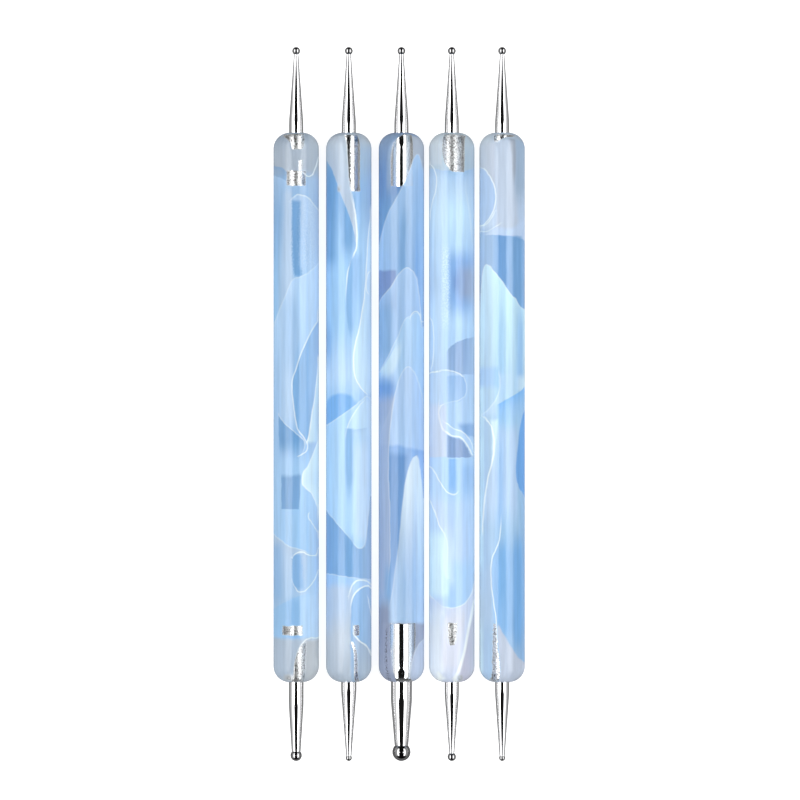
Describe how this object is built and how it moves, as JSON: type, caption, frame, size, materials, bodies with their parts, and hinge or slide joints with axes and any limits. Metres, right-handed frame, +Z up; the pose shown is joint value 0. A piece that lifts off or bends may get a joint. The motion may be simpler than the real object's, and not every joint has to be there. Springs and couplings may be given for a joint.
{
  "type": "ball dotting tool set",
  "caption": "Double-ended nail art dotting tools: marbled translucent acrylic rods with tapered steel shanks and graded steel ball tips, laid side by side.",
  "frame": {"origin": "on the surface that the tools lie on, under the middle of the set's bounding box", "axes": "+Y along the tools towards their matching fine tips, +X across the row from the first tool to the fifth, +Z up"},
  "size_m": [0.0442, 0.1254, 0.008],
  "materials": {
    "acrylic_1": "polished cast acrylic, translucent blue and white marbling",
    "acrylic_2": "polished cast acrylic, translucent blue and white marbling",
    "acrylic_3": "polished cast acrylic, translucent blue and white marbling",
    "acrylic_4": "polished cast acrylic, translucent blue and white marbling",
    "acrylic_5": "polished cast acrylic, translucent blue and white marbling",
    "shank_steel": "mirror polished steel",
    "ball_steel": "mirror polished steel",
    "adhesive": "clear cured adhesive with fine bubbles"
  },
  "bodies": {
    "pen_1": {"pen_1_handle": "acrylic_1", "pen_1_upper_shank": "shank_steel", "pen_1_upper_ball": "ball_steel", "pen_1_upper_glue": "adhesive", "pen_1_lower_shank": "shank_steel", "pen_1_lower_ball": "ball_steel", "pen_1_lower_glue": "adhesive"},
    "pen_2": {"pen_2_handle": "acrylic_2", "pen_2_upper_shank": "shank_steel", "pen_2_upper_ball": "ball_steel", "pen_2_upper_glue": "adhesive", "pen_2_lower_shank": "shank_steel", "pen_2_lower_ball": "ball_steel", "pen_2_lower_glue": "adhesive"},
    "pen_3": {"pen_3_handle": "acrylic_3", "pen_3_upper_shank": "shank_steel", "pen_3_upper_ball": "ball_steel", "pen_3_upper_glue": "adhesive", "pen_3_lower_shank": "shank_steel", "pen_3_lower_ball": "ball_steel", "pen_3_lower_glue": "adhesive"},
    "pen_4": {"pen_4_handle": "acrylic_4", "pen_4_upper_shank": "shank_steel", "pen_4_upper_ball": "ball_steel", "pen_4_upper_glue": "adhesive", "pen_4_lower_shank": "shank_steel", "pen_4_lower_ball": "ball_steel", "pen_4_lower_glue": "adhesive"},
    "pen_5": {"pen_5_handle": "acrylic_5", "pen_5_upper_shank": "shank_steel", "pen_5_upper_ball": "ball_steel", "pen_5_upper_glue": "adhesive", "pen_5_lower_shank": "shank_steel", "pen_5_lower_ball": "ball_steel", "pen_5_lower_glue": "adhesive"}
  },
  "joints": [
    {"name": "pen_1_lift", "type": "slide", "parent": "pen_3", "child": "pen_1", "axis": [0, 0, 1], "range_m": [0, 0.05]},
    {"name": "pen_2_lift", "type": "slide", "parent": "pen_3", "child": "pen_2", "axis": [0, 0, 1], "range_m": [0, 0.05]},
    {"name": "pen_4_lift", "type": "slide", "parent": "pen_3", "child": "pen_4", "axis": [0, 0, 1], "range_m": [0, 0.05]},
    {"name": "pen_5_lift", "type": "slide", "parent": "pen_3", "child": "pen_5", "axis": [0, 0, 1], "range_m": [0, 0.05]}
  ]
}
